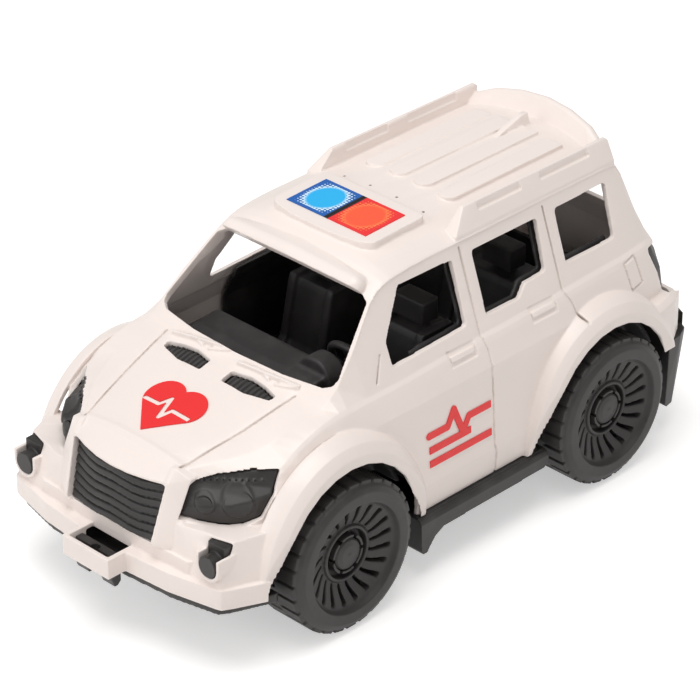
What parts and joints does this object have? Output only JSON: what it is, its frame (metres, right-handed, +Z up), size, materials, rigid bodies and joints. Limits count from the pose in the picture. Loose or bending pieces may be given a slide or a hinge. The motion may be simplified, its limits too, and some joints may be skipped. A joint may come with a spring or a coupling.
{
  "type": "toy ambulance car",
  "caption": "Free-rolling toy ambulance: hollow white shell with open windows, roof rails and light panel, black cabin, chassis and trim, and treaded wheels on plain axles.",
  "frame": {"origin": "ground level under the middle of the overall length and width", "axes": "+X towards the bonnet, +Y the car's left, +Z up"},
  "size_m": [0.287, 0.141, 0.1394],
  "materials": {
    "white_shell": "satin moulded polypropylene",
    "trim_black": "satin moulded polypropylene",
    "cabin_black": "satin moulded polypropylene",
    "wheel_grey": "satin moulded plastic",
    "sticker_blue": "printed film",
    "sticker_red": "printed film",
    "screw_steel": "zinc-plated"
  },
  "bodies": {
    "car": {"body_shell": "white_shell", "grille": "trim_black", "headlight_left": "trim_black", "headlight_right": "trim_black", "fog_lamp_left": "trim_black", "fog_lamp_right": "trim_black", "bonnet_vent_left": "trim_black", "bonnet_vent_right": "trim_black", "tail_light_left": "trim_black", "tail_light_right": "trim_black", "beacon_sticker_blue": "sticker_blue", "beacon_sticker_red": "sticker_red", "bonnet_sticker": "sticker_red", "door_sticker_left": "sticker_red", "door_sticker_right": "sticker_red", "side_trim_left": "cabin_black", "side_trim_right": "cabin_black", "dashboard": "cabin_black", "steering_wheel": "cabin_black", "front_seat_left": "cabin_black", "front_seat_right": "cabin_black", "rear_bench": "cabin_black", "cabin_floor": "cabin_black", "chassis": "trim_black", "tow_hook": "trim_black", "side_step_left": "trim_black", "side_step_right": "trim_black", "rear_bumper": "trim_black", "axle_front": "trim_black", "axle_rear": "trim_black", "axle_clip_front": "trim_black", "axle_clip_rear": "trim_black", "chassis_screws": "screw_steel"},
    "wheel_front_left_body": {"wheel_front_left": "wheel_grey"},
    "wheel_front_right_body": {"wheel_front_right": "wheel_grey"},
    "wheel_rear_left_body": {"wheel_rear_left": "wheel_grey"},
    "wheel_rear_right_body": {"wheel_rear_right": "wheel_grey"}
  },
  "joints": [
    {"name": "wheel_front_left_roll", "type": "hinge", "parent": "car", "child": "wheel_front_left_body", "pos_m": [0.0685, 0.0585, 0.032], "axis": [0, 1, 0], "continuous": true},
    {"name": "wheel_front_right_roll", "type": "hinge", "parent": "car", "child": "wheel_front_right_body", "pos_m": [0.0685, -0.0585, 0.032], "axis": [0, 1, 0], "continuous": true},
    {"name": "wheel_rear_left_roll", "type": "hinge", "parent": "car", "child": "wheel_rear_left_body", "pos_m": [-0.0815, 0.0585, 0.032], "axis": [0, 1, 0], "continuous": true},
    {"name": "wheel_rear_right_roll", "type": "hinge", "parent": "car", "child": "wheel_rear_right_body", "pos_m": [-0.0815, -0.0585, 0.032], "axis": [0, 1, 0], "continuous": true}
  ]
}
